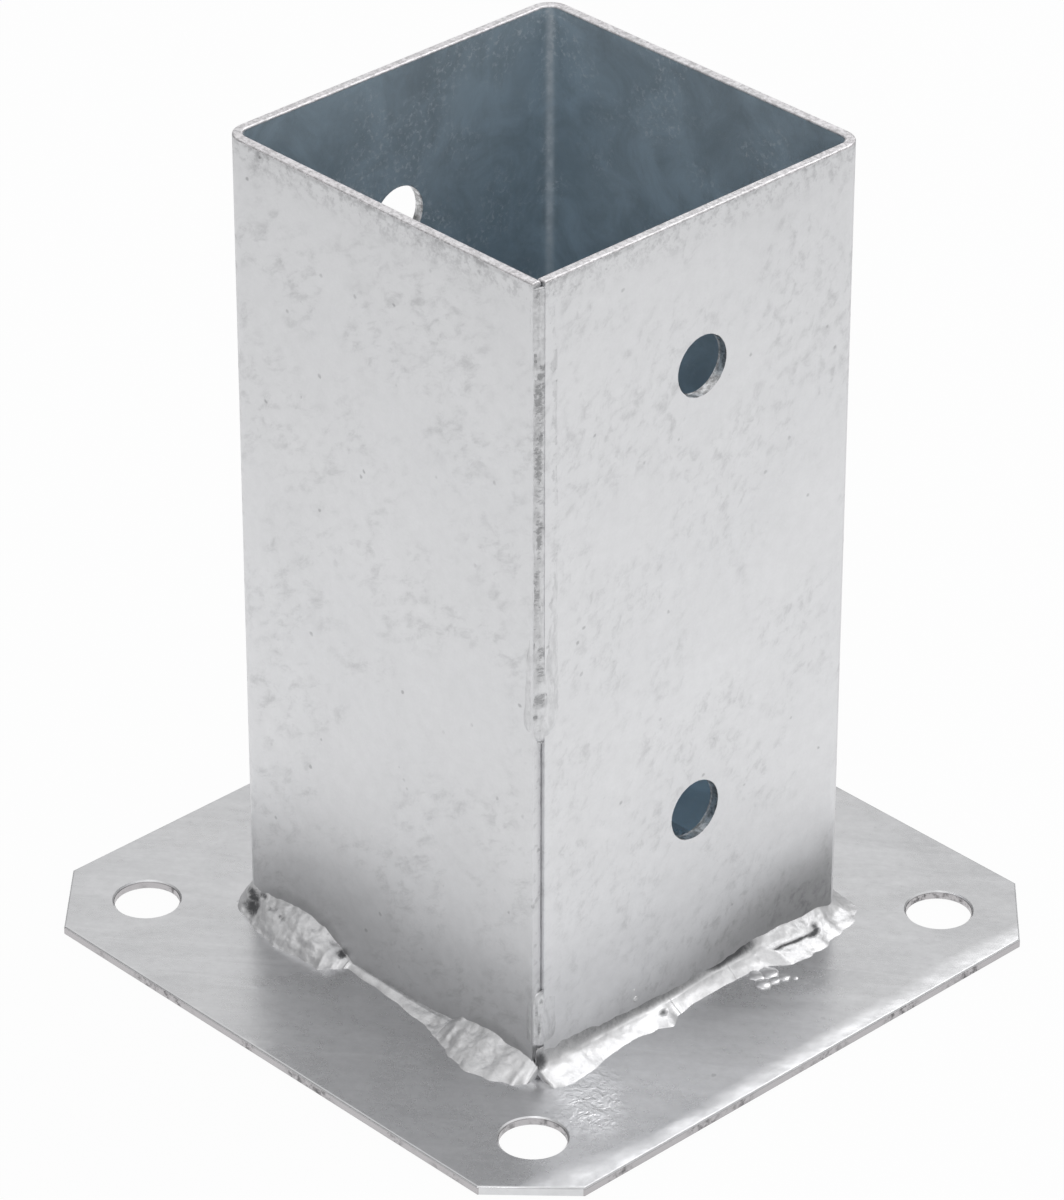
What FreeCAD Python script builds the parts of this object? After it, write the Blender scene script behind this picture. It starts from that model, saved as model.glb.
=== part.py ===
import FreeCAD, Part
import math
import os

import Sketcher

# A bolt-down timber post base in hot-dip galvanised steel. One sheet is folded round three
# corners into a square sleeve, and two seam welds close its fourth corner. The sleeve stands
# on a square plate with clipped corners, and stitch welds run round its foot.
#
# Millimetres, +Z up. The origin is at the centre of the plate's underside. The front wall
# faces -Y, the right wall faces +X, and the seam is the corner between them.

SIZES = [
    # alias, value, what it is
    ("PostSide", 70.0, "side of the square post"),
    ("PostClearance", 0.4, "total play between the post and the sleeve"),
    ("SheetThick", 1.8, "sheet of the sleeve"),
    ("SleeveHeight", 150.0, "from the plate to the rim"),
    ("BendInside", 2.2, "inside radius of the three bends"),
    ("SeamSetback", 0.8, "front wall's cut end, short of the right wall's outer face"),
    ("SeamGap", 0.2, "between the front wall and the right wall's cut end"),
    ("SideHoleDia", 11.0, "holes for the bolts through the post"),
    ("UpperHoleDrop", 28.0, "upper holes below the rim"),
    ("LowerHoleRise", 37.0, "lower holes above the plate"),
    ("PlateSide", 130.0, "square base plate"),
    ("PlateThick", 1.8, "sheet of the base plate"),
    ("PlateClip", 12.5, "leg of the clipped corners"),
    ("AnchorHoleDia", 11.5, "holes for the ground anchors"),
    ("AnchorEdge", 16.0, "anchor holes from the plate's edges"),
    ("EdgeRound", 0.35, "zinc-softened edges of the rim, the plate and its holes"),
    ("FootRise", 4.2, "foot welds up the wall"),
    ("FootReach", 5.2, "foot welds out along the plate"),
    ("FootCrown", 0.7, "foot welds proud of a flat slope"),
    ("FootRunOut", 4.0, "length over which a foot weld tapers at each end"),
    ("FootTipShare", 0.45, "size of a foot weld's tip, as a share of its full section"),
    ("LeftRun", 24.5, "foot weld along each wall from the left corner"),
    ("RightRun", 30.0, "foot weld along each wall from the right corner"),
    ("BackRun", 27.0, "foot weld along each wall from the back corner"),
    ("SeamFootRun", 28.0, "foot welds beside the seam, from the corner to their far end"),
    ("SeamFootInset", 1.0, "foot welds beside the seam, from the corner to their near end"),
    ("SeamLeg", 2.0, "seam welds along each wall"),
    ("SeamDip", 0.1, "crown of the seam welds, inside the point where the walls' faces meet"),
    ("UpperSeamFrom", 65.5, "bottom of the upper seam weld, above the plate"),
    ("UpperSeamDrop", 0.9, "top of the upper seam weld, below the rim"),
    ("LowerSeamFrom", 5.0, "bottom of the lower seam weld, above the plate"),
    ("LowerSeamLength", 11.5, "length of the lower seam weld"),
    ("SeamEndBevel", 0.6, "bevelled ends of the seam welds"),
]

# Formulas that several pieces share.
HALF = "((sizes.PostSide + sizes.PostClearance) / 2 + sizes.SheetThick)"
BEND_OUTSIDE = "(sizes.BendInside + sizes.SheetThick)"
RIM = "(sizes.PlateThick + sizes.SleeveHeight)"
FRONT_END = f"({HALF} - sizes.SeamSetback)"
RIGHT_END = f"({HALF} - sizes.SheetThick - sizes.SeamGap)"

TOUCH = 1e-4

doc = FreeCAD.newDocument("timber_post_base")
sheet = doc.addObject("Spreadsheet::Sheet", "sizes")
for row, (alias, number, meaning) in enumerate(SIZES, start=1):
    sheet.set(f"A{row}", alias)
    sheet.set(f"B{row}", str(number))
    sheet.set(f"C{row}", meaning)
    sheet.setAlias(f"B{row}", alias)
doc.recompute()


def value(formula):
    """What a formula of the sheet's sizes comes to now."""
    return float(sheet.evalExpression(formula))


def new_body(name):
    body = doc.addObject("PartDesign::Body", name)
    body.Label = name
    return body


def new_sketch(body, name, role, **offsets):
    """A sketch on one of the body's origin planes. Offsets x, y and z are in the plane's axes."""
    sketch = body.newObject("Sketcher::SketchObject", name)
    plane = next(f for f in body.Origin.OriginFeatures if f.Role == role)
    sketch.AttachmentSupport = (plane, [""])
    sketch.MapMode = "FlatFace"
    for axis, formula in offsets.items():
        sketch.setExpression(f"AttachmentOffset.Base.{axis}", formula)
    doc.recompute()
    return sketch


def line(sketch, start, end):
    return sketch.addGeometry(Part.LineSegment(FreeCAD.Vector(*start, 0), FreeCAD.Vector(*end, 0)), False)


def arc(sketch, centre, radius, first, last):
    """An arc that runs anticlockwise from its first angle to its last, in degrees."""
    circle = Part.Circle(FreeCAD.Vector(*centre, 0), FreeCAD.Vector(0, 0, 1), radius)
    return sketch.addGeometry(Part.ArcOfCircle(circle, math.radians(first), math.radians(last)), False)


def arc_radius(chord, crown):
    """Formula for the radius of an arc that stands proud of its chord by the crown."""
    return f"(({chord}) ^ 2 / 4 + {crown} ^ 2) / (2 * {crown})"


def crown_arc(sketch, start, end, crown):
    """An arc from start to end, anticlockwise, that stands proud of its chord by the crown."""
    chord = math.dist(start, end)
    radius = (chord**2 / 4 + crown**2) / (2 * crown)
    along = math.degrees(math.atan2(end[1] - start[1], end[0] - start[0]))
    half_turn = math.degrees(math.asin(chord / (2 * radius)))
    middle = along - 90
    inward = math.radians(middle + 180)
    centre = (
        (start[0] + end[0]) / 2 + (radius - crown) * math.cos(inward),
        (start[1] + end[1]) / 2 + (radius - crown) * math.sin(inward),
    )
    return arc(sketch, centre, radius, middle - half_turn, middle + half_turn)


def tie(sketch, kind, *where):
    sketch.addConstraint(Sketcher.Constraint(kind, *where))


def dimension(sketch, name, formula, kind, *where):
    """A driving dimension, named and bound to the sheet."""
    index = sketch.addConstraint(Sketcher.Constraint(kind, *where, value(formula)))
    sketch.renameConstraint(index, name)
    sketch.setExpression(f"Constraints.{name}", formula)


def feature(body, kind, name, **properties):
    """A PartDesign feature. A text value is a formula that the property is bound to."""
    made = body.newObject(f"PartDesign::{kind}", name)
    for prop, setting in properties.items():
        if isinstance(setting, str) and "sizes." in setting:
            made.setExpression(prop, setting)
        else:
            setattr(made, prop, setting)
    doc.recompute()
    return made


def edges_where(shape_feature, test):
    """Names of a feature's edges that pass the test."""
    edges = enumerate(shape_feature.Shape.Edges, start=1)
    return [f"Edge{number}" for number, edge in edges if test(edge)]


def level(edge):
    return edge.BoundBox.ZLength < TOUCH


def straight(edge):
    return isinstance(edge.Curve, Part.Line)


def spin(body, degrees):
    """Turns a finished body about the part's vertical axis."""
    body.Placement = FreeCAD.Placement(
        FreeCAD.Vector(), FreeCAD.Rotation(FreeCAD.Vector(0, 0, 1), degrees)
    )


# ---- sleeve ----


def folded_face(sketch, half, radius, right_end, front_end):
    """One face of the folded sheet, from the right wall's end round three bends to the front's."""
    reach = half - radius
    bends = [arc(sketch, (sx * reach, sy * reach), radius, turn, turn + 90)
             for sx, sy, turn in ((1, 1, 0), (-1, 1, 90), (-1, -1, 180))]
    walls = [
        line(sketch, (half, -right_end), (half, reach)),
        line(sketch, (reach, half), (-reach, half)),
        line(sketch, (-half, reach), (-half, -reach)),
        line(sketch, (-reach, -half), (front_end, -half)),
    ]
    for wall, bend, next_wall in zip(walls, bends, walls[1:]):
        tie(sketch, "Tangent", wall, 2, bend, 1)
        tie(sketch, "Tangent", bend, 2, next_wall, 1)
    tie(sketch, "Vertical", walls[0])
    tie(sketch, "Horizontal", walls[3])
    tie(sketch, "Equal", bends[0], bends[1])
    tie(sketch, "Equal", bends[1], bends[2])
    return walls, bends


def make_sleeve():
    body = new_body("sleeve")
    fold = new_sketch(body, "fold", "XY_Plane", z="sizes.PlateThick")
    half, thick = value(HALF), value("sizes.SheetThick")
    ends = (value(RIGHT_END), value(FRONT_END))
    outer, outer_bends = folded_face(fold, half, value(BEND_OUTSIDE), *ends)
    inner, inner_bends = folded_face(fold, half - thick, value("sizes.BendInside"), *ends)
    right_cut = line(fold, (half, -ends[0]), (half - thick, -ends[0]))
    front_cut = line(fold, (ends[1], -half), (ends[1], thick - half))
    for cut, which, walls in ((right_cut, 1, (outer[0], inner[0])), (front_cut, 2, (outer[3], inner[3]))):
        tie(fold, "Coincident", cut, 1, walls[0], which)
        tie(fold, "Coincident", cut, 2, walls[1], which)
    tie(fold, "Horizontal", right_cut)
    tie(fold, "Vertical", front_cut)
    tie(fold, "Vertical", outer[2])
    tie(fold, "Horizontal", outer[1])
    for outside, inside in zip(outer_bends, inner_bends):
        tie(fold, "Coincident", outside, 3, inside, 3)
    dimension(fold, "outside_bend", BEND_OUTSIDE, "Radius", outer_bends[0])
    dimension(fold, "inside_bend", "sizes.BendInside", "Radius", inner_bends[0])
    dimension(fold, "right_face", HALF, "DistanceX", -1, 1, outer[0], 2)
    dimension(fold, "back_face", HALF, "DistanceY", -1, 1, outer[1], 1)
    dimension(fold, "left_face", HALF, "DistanceX", outer[2], 1, -1, 1)
    dimension(fold, "front_face", HALF, "DistanceY", outer[3], 1, -1, 1)
    dimension(fold, "right_end", RIGHT_END, "DistanceY", right_cut, 1, -1, 1)
    dimension(fold, "front_end", FRONT_END, "DistanceX", -1, 1, front_cut, 1)
    walls = feature(body, "Pad", "walls", Profile=fold, Length="sizes.SleeveHeight")

    bolts = new_sketch(body, "bolt_holes", "YZ_Plane")
    heights = {
        "upper": f"{RIM} - sizes.UpperHoleDrop",
        "lower": "sizes.PlateThick + sizes.LowerHoleRise",
    }
    for name, height in heights.items():
        hole = bolts.addGeometry(
            Part.Circle(FreeCAD.Vector(0, value(height), 0), FreeCAD.Vector(0, 0, 1),
                        value("sizes.SideHoleDia / 2")), False)
        tie(bolts, "PointOnObject", hole, 3, -2)
        dimension(bolts, f"{name}_height", height, "DistanceY", -1, 1, hole, 3)
        dimension(bolts, f"{name}_diameter", "sizes.SideHoleDia", "Diameter", hole)
    drilled = feature(body, "Pocket", "bolt_hole_cut", Profile=bolts, Type="ThroughAll", SideType="Symmetric")

    rim = value(RIM)
    rim_edges = edges_where(drilled, lambda edge: edge.BoundBox.ZMin > rim - TOUCH)
    feature(body, "Fillet", "zinc_rim", Base=(drilled, rim_edges), Radius="sizes.EdgeRound")
    return body, walls, drilled


# ---- base plate ----


def make_base_plate():
    body = new_body("base_plate")
    outline = new_sketch(body, "outline", "XY_Plane")
    half = value("sizes.PlateSide / 2")
    corners = [(-half, -half), (half, -half), (half, half), (-half, half)]
    sides = [line(outline, start, end) for start, end in zip(corners, corners[1:] + corners[:1])]
    for this, following in zip(sides, sides[1:] + sides[:1]):
        tie(outline, "Coincident", this, 2, following, 1)
    for flat, upright in ((sides[0], sides[1]), (sides[2], sides[3])):
        tie(outline, "Horizontal", flat)
        tie(outline, "Vertical", upright)
    tie(outline, "Symmetric", sides[0], 1, sides[1], 2, -1, 1)
    dimension(outline, "width", "sizes.PlateSide", "DistanceX", sides[0], 1, sides[0], 2)
    dimension(outline, "depth", "sizes.PlateSide", "DistanceY", sides[1], 1, sides[1], 2)
    blank = feature(body, "Pad", "blank", Profile=outline, Length="sizes.PlateThick")
    uprights = edges_where(blank, lambda edge: not level(edge))
    feature(body, "Chamfer", "clipped_corners", Base=(blank, uprights), Size="sizes.PlateClip")

    anchor = new_sketch(body, "anchor_hole", "XY_Plane")
    place = "sizes.PlateSide / 2 - sizes.AnchorEdge"
    hole = anchor.addGeometry(
        Part.Circle(FreeCAD.Vector(value(place), value(place), 0), FreeCAD.Vector(0, 0, 1),
                    value("sizes.AnchorHoleDia / 2")), False)
    dimension(anchor, "across", place, "DistanceX", -1, 1, hole, 3)
    dimension(anchor, "along", place, "DistanceY", -1, 1, hole, 3)
    dimension(anchor, "diameter", "sizes.AnchorHoleDia", "Diameter", hole)
    first = feature(body, "Pocket", "anchor_hole_cut", Profile=anchor, Type="ThroughAll", Reversed=True)
    axis = next(f for f in body.Origin.OriginFeatures if f.Role == "Z_Axis")
    holes = body.newObject("PartDesign::PolarPattern", "anchor_holes")
    holes.Originals = [first]
    holes.Axis = (axis, [""])
    holes.Angle = 360
    holes.Occurrences = 4
    body.Tip = holes
    doc.recompute()
    outline_edges = edges_where(holes, lambda edge: level(edge) and straight(edge))
    rounded = feature(body, "Fillet", "zinc_edges", Base=(holes, outline_edges), Radius="sizes.EdgeRound")
    hole_edges = edges_where(rounded, lambda edge: level(edge) and not straight(edge))
    feature(body, "Chamfer", "zinc_hole_rims", Base=(rounded, hole_edges), Size="sizes.EdgeRound")
    return body


# ---- foot welds ----
#
# Each is drawn against the front wall's foot and then turned to its own wall or corner. Its
# section is full along the run and tapers to a smaller one where the weld runs out.

FOOT_CHORD = "sqrt(sizes.FootReach ^ 2 + sizes.FootRise ^ 2)"
FULL = "1"
TIP = "sizes.FootTipShare"


def foot_profile(body, name, role, share, along):
    """A weld's section: the wall's foot is at the sketch's origin and the plate to its left."""
    profile = new_sketch(body, name, role, x=f"-{HALF}", y="sizes.PlateThick", z=along)
    reach, rise, crown = (f"{full} * {share}" for full in
                          ("sizes.FootReach", "sizes.FootRise", "sizes.FootCrown"))
    toe_out, toe_up = (-value(reach), 0), (0, value(rise))
    on_plate = line(profile, (0, 0), toe_out)
    on_wall = line(profile, toe_up, (0, 0))
    face = crown_arc(profile, toe_up, toe_out, value(crown))
    tie(profile, "Coincident", on_plate, 1, -1, 1)
    tie(profile, "Coincident", on_wall, 2, -1, 1)
    tie(profile, "Coincident", face, 1, on_wall, 1)
    tie(profile, "Coincident", face, 2, on_plate, 2)
    tie(profile, "Horizontal", on_plate)
    tie(profile, "Vertical", on_wall)
    dimension(profile, "reach", reach, "DistanceX", on_plate, 2, on_plate, 1)
    dimension(profile, "rise", rise, "DistanceY", on_wall, 2, on_wall, 1)
    dimension(profile, "crown", f"({arc_radius(FOOT_CHORD, 'sizes.FootCrown')}) * {share}", "Radius", face)
    return profile


def run_out(body, name, full, role, tip_at):
    """Tapers the weld from its full section to the tip's."""
    tip = foot_profile(body, f"{name}_tip", role, TIP, tip_at)
    return feature(body, "AdditiveLoft", name, Profile=full, Sections=[tip], Ruled=True)


def make_straight_foot_weld(name, near, far, turn):
    """A stitch weld along one wall, between two distances from the wall's middle."""
    body = new_body(name)
    start, end = f"({near} + sizes.FootRunOut)", f"({far} - sizes.FootRunOut)"
    first = foot_profile(body, f"{name}_start", "YZ_Plane", FULL, start)
    feature(body, "Pad", f"{name}_run", Profile=first, Length=f"{end} - {start}")
    run_out(body, f"{name}_near_end", first, "YZ_Plane", near)
    last = foot_profile(body, f"{name}_end", "YZ_Plane", FULL, end)
    run_out(body, f"{name}_far_end", last, "YZ_Plane", far)
    spin(body, turn)
    return body


def make_corner_foot_weld(name, run, turn):
    """A weld round a bent corner. The run is along each wall, from where their faces would meet."""
    body = new_body(name)
    bend = f"({HALF} - {BEND_OUTSIDE})"
    tip = f"({HALF} - {run})"
    end = f"({tip} + sizes.FootRunOut)"
    path = new_sketch(body, f"{name}_path", "XY_Plane", z="sizes.PlateThick")
    half, reach, stop = value(HALF), value(bend), value(end)
    front = line(path, (-stop, -half), (-reach, -half))
    left = line(path, (-half, -reach), (-half, -stop))
    corner = arc(path, (-reach, -reach), value(BEND_OUTSIDE), 180, 270)
    tie(path, "Tangent", front, 2, corner, 2)
    tie(path, "Tangent", corner, 1, left, 1)
    tie(path, "Horizontal", front)
    tie(path, "Vertical", left)
    dimension(path, "corner", BEND_OUTSIDE, "Radius", corner)
    dimension(path, "front_face", HALF, "DistanceY", front, 1, -1, 1)
    dimension(path, "left_face", HALF, "DistanceX", left, 1, -1, 1)
    dimension(path, "front_stop", end, "DistanceX", front, 1, -1, 1)
    dimension(path, "left_stop", end, "DistanceY", left, 2, -1, 1)
    first = foot_profile(body, f"{name}_front", "YZ_Plane", FULL, f"-{end}")
    feature(body, "AdditivePipe", f"{name}_run", Profile=first, Spine=(path, [""]))
    run_out(body, f"{name}_front_end", first, "YZ_Plane", f"-{tip}")
    last = foot_profile(body, f"{name}_left", "XZ_Plane", FULL, end)
    run_out(body, f"{name}_left_end", last, "XZ_Plane", tip)
    spin(body, turn)
    return body


# ---- seam welds ----


# A seam weld's toes and the point where the walls' faces meet form a right-angled triangle.
SEAM_ACROSS = "(sizes.SeamLeg + sizes.SeamSetback)"
SEAM_ALONG = "(sizes.SeamLeg + sizes.SheetThick + sizes.SeamGap)"
SEAM_CHORD = f"sqrt({SEAM_ACROSS} ^ 2 + {SEAM_ALONG} ^ 2)"
SEAM_CROWN = f"({SEAM_ACROSS} * {SEAM_ALONG} / {SEAM_CHORD} - sizes.SeamDip)"


def make_seam_weld(name, bottom, length):
    """Fills the notch between the two cut ends at the front corner, with a convex face."""
    body = new_body(name)
    section = new_sketch(body, f"{name}_section", "XY_Plane", z=bottom)
    half, leg = value(HALF), value("sizes.SeamLeg")
    front_end, right_end = value(FRONT_END), value(RIGHT_END)
    corners = [
        (half, leg - right_end),
        (half, -right_end),
        (front_end, -right_end),
        (front_end, -half),
        (front_end - leg, -half),
    ]
    sides = [line(section, start, end) for start, end in zip(corners, corners[1:])]
    face = crown_arc(section, corners[-1], corners[0], value(SEAM_CROWN))
    for this, following in zip(sides, sides[1:]):
        tie(section, "Coincident", this, 2, following, 1)
    tie(section, "Coincident", face, 1, sides[-1], 2)
    tie(section, "Coincident", face, 2, sides[0], 1)
    for upright, flat in ((sides[0], sides[1]), (sides[2], sides[3])):
        tie(section, "Vertical", upright)
        tie(section, "Horizontal", flat)
    dimension(section, "right_face", HALF, "DistanceX", -1, 1, sides[0], 1)
    dimension(section, "right_end", RIGHT_END, "DistanceY", sides[0], 2, -1, 1)
    dimension(section, "right_leg", "sizes.SeamLeg", "DistanceY", sides[0], 2, sides[0], 1)
    dimension(section, "front_end", FRONT_END, "DistanceX", -1, 1, sides[2], 1)
    dimension(section, "front_face", HALF, "DistanceY", sides[3], 1, -1, 1)
    dimension(section, "front_leg", "sizes.SeamLeg", "DistanceX", sides[3], 2, sides[3], 1)
    dimension(section, "crown", arc_radius(SEAM_CHORD, SEAM_CROWN), "Radius", face)
    bead = feature(body, "Pad", f"{name}_bead", Profile=section, Length=length)
    ends = edges_where(bead, lambda edge: level(edge) and not straight(edge))
    feature(body, "Chamfer", f"{name}_ends", Base=(bead, ends), Size="sizes.SeamEndBevel")
    return body


sleeve, walls, drilled = make_sleeve()
if not drilled.Shape.Volume < walls.Shape.Volume - TOUCH:
    raise RuntimeError("the bolt holes cut nothing out of the sleeve")

nodes = [
    sleeve,
    make_base_plate(),
    make_corner_foot_weld("weld_foot_left_corner", "sizes.LeftRun", 0),
    make_corner_foot_weld("weld_foot_right_corner", "sizes.RightRun", 180),
    make_corner_foot_weld("weld_foot_back_corner", "sizes.BackRun", -90),
    make_straight_foot_weld("weld_foot_front", f"({HALF} - sizes.SeamFootRun)",
                            f"({HALF} - sizes.SeamFootInset)", 0),
    make_straight_foot_weld("weld_foot_right", f"(sizes.SeamFootInset - {HALF})",
                            f"(sizes.SeamFootRun - {HALF})", 90),
    make_seam_weld("weld_seam_upper", "sizes.PlateThick + sizes.UpperSeamFrom",
                   "sizes.SleeveHeight - sizes.UpperSeamFrom - sizes.UpperSeamDrop"),
    make_seam_weld("weld_seam_lower", "sizes.PlateThick + sizes.LowerSeamFrom", "sizes.LowerSeamLength"),
]

doc.recompute()
for item in doc.Objects:
    if {"Invalid", "Error"} & set(item.State):
        raise RuntimeError(f"{item.Name} did not recompute: {item.State}")
for node in nodes:
    if node.Shape.isNull() or not node.Shape.isValid() or len(node.Shape.Solids) != 1:
        raise RuntimeError(f"{node.Label} is not one valid solid")

os.makedirs("parts", exist_ok=True)
for node in nodes:
    node.Shape.exportStep(f"parts/{node.Label}.step")
    box = node.Shape.BoundBox
    print(f"{node.Label}: {node.Shape.Volume:.1f} mm3, x {box.XMin:.2f}..{box.XMax:.2f}, "
          f"y {box.YMin:.2f}..{box.YMax:.2f}, z {box.ZMin:.2f}..{box.ZMax:.2f}")
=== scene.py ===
import math

import bpy
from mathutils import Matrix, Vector, noise


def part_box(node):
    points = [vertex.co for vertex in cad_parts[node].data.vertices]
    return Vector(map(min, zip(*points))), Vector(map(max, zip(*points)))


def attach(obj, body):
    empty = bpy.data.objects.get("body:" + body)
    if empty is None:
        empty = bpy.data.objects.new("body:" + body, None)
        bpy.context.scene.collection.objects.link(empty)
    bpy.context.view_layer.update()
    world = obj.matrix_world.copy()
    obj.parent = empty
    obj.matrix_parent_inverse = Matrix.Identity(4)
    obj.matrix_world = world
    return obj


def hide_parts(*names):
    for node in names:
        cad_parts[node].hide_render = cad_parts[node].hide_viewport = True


# The looks of a galvanised timber post base: zinc on the folded sleeve and its plate, and the
# lumpy weld beads at the seam and round the foot. Blender's units are metres. The part's lengths
# are given in millimetres, in the frame's own axes, and MM turns them into metres. Only the
# floor and the lamps are given in metres.

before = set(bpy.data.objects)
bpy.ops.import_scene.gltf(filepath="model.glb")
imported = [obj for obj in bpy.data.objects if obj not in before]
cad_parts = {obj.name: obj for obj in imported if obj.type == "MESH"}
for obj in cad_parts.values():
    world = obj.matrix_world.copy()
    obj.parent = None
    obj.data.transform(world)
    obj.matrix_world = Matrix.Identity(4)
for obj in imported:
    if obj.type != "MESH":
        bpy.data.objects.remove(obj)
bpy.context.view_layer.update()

MM = 0.001
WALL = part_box("sleeve")[1].x / MM
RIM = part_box("sleeve")[1].z / MM
PLATE_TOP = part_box("base_plate")[1].z / MM
PLATE_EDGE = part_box("base_plate")[1].x / MM

# Sizes that the source fixes and the frame doesn't list: the sheet, the bends' outside radius,
# where the two cut ends of the sheet stop at the seam, and the holes as radii and places.
SHEET = 1.8
BEND = 4.0
FRONT_END = WALL - 0.8
RIGHT_END = WALL - 2.0
SIDE_HOLE = 5.5
SIDE_HOLE_HEIGHTS = (PLATE_TOP + 37.0, RIM - 28.0)
ANCHOR_HOLE = 5.75
ANCHOR_PLACE = PLATE_EDGE - 16.0

ZINC = (0.745, 0.746, 0.756)
DULL_ZINC = (0.705, 0.710, 0.724)
BRIGHT_ZINC = (0.800, 0.800, 0.808)
RIM_ZINC = (0.820, 0.790, 0.810)
# Painted shade: the inside of the sleeve gets a darker, bluish zinc.
SHADED_INSIDE_ZINC = (0.500, 0.590, 0.650)
PALE_SHADED_INSIDE = (0.530, 0.600, 0.650)
FLECK_ZINC = (0.800, 0.840, 0.870)
CUT_ZINC = (0.500, 0.485, 0.495)
CUT_DARK = (0.160, 0.155, 0.160)
OXIDE = (0.100, 0.102, 0.108)

# How deep each material's bump is, in millimetres.
SLEEVE_DEPTH = 0.05
SEAM_DEPTH = 0.06
PLATE_DEPTH = 0.06
WELD_DEPTH = 0.09


# ---- shader helpers ----


class Shader:
    """A material's node tree, built with one short call for each node."""

    def __init__(self, name):
        self.material = bpy.data.materials.new(name)
        self.material.use_nodes = True
        self.tree = self.material.node_tree
        self.surface = self.tree.nodes["Principled BSDF"]
        objects = self.node("ShaderNodeTexCoord").outputs["Object"]
        self.place = self.scaled(objects, 1.0 / MM)
        split = self.node("ShaderNodeSeparateXYZ", Vector=self.place)
        self.x, self.y, self.z = split.outputs

    def node(self, kind, settings=None, **inputs):
        """A node with its settings and with inputs by name: a socket is linked, a number is set."""
        made = self.tree.nodes.new(kind)
        for name, setting in (settings or {}).items():
            setattr(made, name, setting)
        for name, given in inputs.items():
            self.feed(made.inputs[name.replace("_", " ")], given)
        return made

    def feed(self, socket, given):
        if isinstance(given, bpy.types.NodeSocket):
            self.tree.links.new(given, socket)
        else:
            socket.default_value = given

    def math(self, operation, *values):
        made = self.tree.nodes.new("ShaderNodeMath")
        made.operation = operation
        for socket, given in zip(made.inputs, values):
            self.feed(socket, given)
        return made.outputs[0]

    def sum(self, *values):
        total = values[0]
        for given in values[1:]:
            total = self.math("ADD", total, given)
        return total

    def product(self, *values):
        total = values[0]
        for given in values[1:]:
            total = self.math("MULTIPLY", total, given)
        return total

    def weighed(self, base, *pairs):
        """A number plus values that are each given with a weight."""
        return self.sum(base, *[self.product(value, weight) for value, weight in pairs])

    def less(self, value, taken):
        return self.math("SUBTRACT", value, taken)

    def size_of(self, value):
        return self.math("ABSOLUTE", value)

    def larger(self, first, second):
        return self.math("MAXIMUM", first, second)

    def above(self, value, limit):
        """One above the limit, and zero elsewhere."""
        return self.math("GREATER_THAN", value, limit)

    def under(self, value, limit):
        """One under the limit, and zero elsewhere."""
        return self.math("LESS_THAN", value, limit)

    def mark(self, name):
        """A number that the mesh holds at each point, zero where it holds none."""
        return self.node("ShaderNodeAttribute", {"attribute_name": name}).outputs["Fac"]

    def scaled(self, vector, factor):
        made = self.node("ShaderNodeVectorMath", {"operation": "SCALE"})
        self.feed(made.inputs[0], vector)
        self.feed(made.inputs["Scale"], factor)
        return made.outputs[0]

    def stretched(self, turn=(0, 0, 0), scale=(1, 1, 1)):
        """The place in millimetres, turned by degrees and then scaled along each axis."""
        made = self.node("ShaderNodeMapping", {"vector_type": "TEXTURE"}, Vector=self.place)
        made.inputs["Rotation"].default_value = [math.radians(angle) for angle in turn]
        made.inputs["Scale"].default_value = scale
        return made.outputs[0]

    def noise(self, size, detail=2.0, rough=0.5, warp=0.0, at=None):
        """Noise from 0 to 1 about 0.5, with features about as large as size, in millimetres. At is
        a place to use for the point's own, such as a stretched one."""
        made = self.node("ShaderNodeTexNoise", Vector=at or self.place, Scale=1.0 / size,
                         Detail=detail, Roughness=rough, Distortion=warp)
        return made.outputs["Fac"]

    def cells(self, size):
        """Distance to the nearest cell's point, as a share of the cell's size."""
        made = self.node("ShaderNodeTexVoronoi", Vector=self.place, Scale=1.0 / size)
        return made.outputs["Distance"]

    def ramp(self, value, low, high, to_low=0.0, to_high=1.0):
        """Maps low..high to another range with soft ends, and stays there outside it."""
        made = self.node("ShaderNodeMapRange", {"interpolation_type": "SMOOTHSTEP"})
        for name, given in (("Value", value), ("From Min", low), ("From Max", high),
                            ("To Min", to_low), ("To Max", to_high)):
            self.feed(made.inputs[name], given)
        return made.outputs["Result"]

    def mix(self, factor, first, second):
        """Mixes two colours. Each is a tuple of three or a socket."""
        made = self.node("ShaderNodeMix", {"data_type": "RGBA"})
        self.feed(made.inputs["Factor"], factor)
        for index, given in ((6, first), (7, second)):
            is_socket = isinstance(given, bpy.types.NodeSocket)
            self.feed(made.inputs[index], given if is_socket else (*given, 1.0))
        return made.outputs[2]

    def distance(self, *offsets):
        """Distance from a point or an axis, from the offsets along two or three axes."""
        squares = [self.math("POWER", offset, 2.0) for offset in offsets]
        return self.math("SQRT", self.sum(*squares))

    def finish(self, colour, roughness, height, depth):
        """Wires the metal. Height is in units of the depth, in millimetres."""
        bump = self.node("ShaderNodeBump", Height=height, Distance=depth * MM)
        self.feed(self.surface.inputs["Base Color"], colour)
        self.feed(self.surface.inputs["Roughness"], roughness)
        self.feed(self.surface.inputs["Normal"], bump.outputs["Normal"])
        self.surface.inputs["Metallic"].default_value = 1.0
        return self.material


# ---- materials ----


# Patches of painted shade at the foot of the front wall, round the stitches: where along x, half
# their length, and how high they reach.
SHADE_PATCHES = ((-22.0, 17.0, 12.0), (28.0, 13.0, 10.0))

# Places on the plate, as x and y: the wrinkled zinc by the seam corner, and a dim and a pale cloud.
PUDDLE_X, PUDDLE_Y = 48.0, -35.0
DIM_X, DIM_Y = 49.0, -4.0
PALE_X, PALE_Y = 38.0, -43.0

# The lip along the plate's right edge: how far in from the edge it can start, and how steep it
# gets.
LIP_WIDTH = 6.2
LIP_SLOPE = 0.275


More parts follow.
